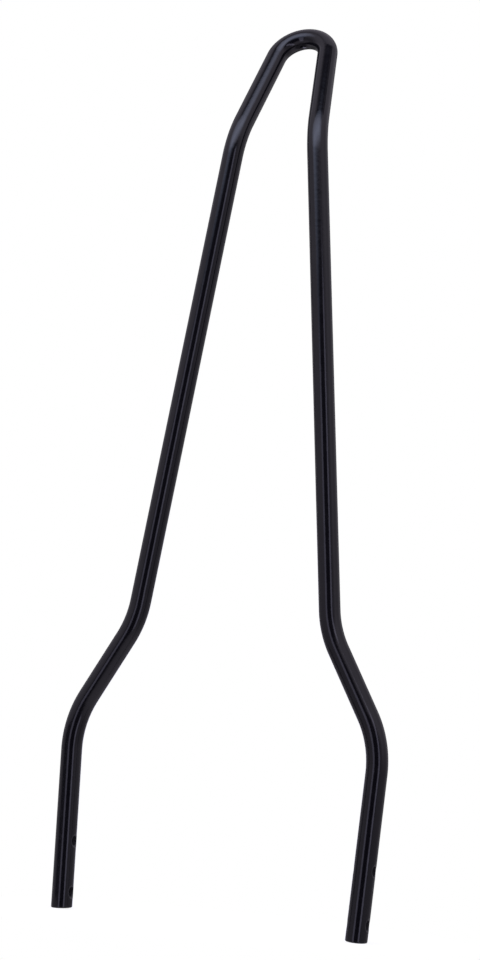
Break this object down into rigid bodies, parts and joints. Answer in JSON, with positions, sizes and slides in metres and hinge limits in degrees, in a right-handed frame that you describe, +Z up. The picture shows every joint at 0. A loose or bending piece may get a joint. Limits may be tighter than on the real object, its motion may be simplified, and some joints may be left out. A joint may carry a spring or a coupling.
{
  "type": "sissy bar",
  "caption": "Slim one-piece motorcycle sissy bar: round steel bar bent into splayed legs, a tapering frame and a kicked-back round crown, drilled to bolt beside the rear fender.",
  "frame": {"origin": "centre of the bounding box's footprint, level with the lower ends of the legs", "axes": "+Z up along the legs, +X to the rider's right across the machine, along the bolt holes, +Y to the rear, the way the top kicks back"},
  "size_m": [0.263, 0.0608, 0.7113],
  "materials": {
    "gloss_black": "gloss black powder coat"
  },
  "bodies": {
    "root": {"sissy_bar": "gloss_black"}
  },
  "joints": []
}
